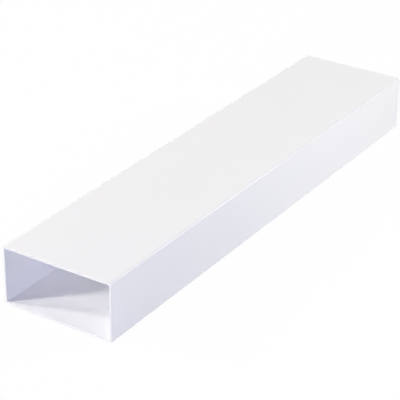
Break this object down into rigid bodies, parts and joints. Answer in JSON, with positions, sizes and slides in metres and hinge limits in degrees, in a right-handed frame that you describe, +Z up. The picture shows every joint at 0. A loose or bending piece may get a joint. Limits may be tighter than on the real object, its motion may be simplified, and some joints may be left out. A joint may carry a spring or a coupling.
{
  "type": "flat channel duct",
  "caption": "Straight length of rigid white rectangular duct, open at both ends, that carries air through a ventilation run and slips into connectors of the same section.",
  "frame": {"origin": "middle of the underside, on the floor that the duct lies on", "axes": "+X across the wide faces, +Y along the airway, +Z up from the underside to the top"},
  "size_m": [0.11, 0.5, 0.055],
  "materials": {
    "white_plastic": "satin"
  },
  "bodies": {
    "root": {"duct_channel": "white_plastic"}
  },
  "joints": []
}
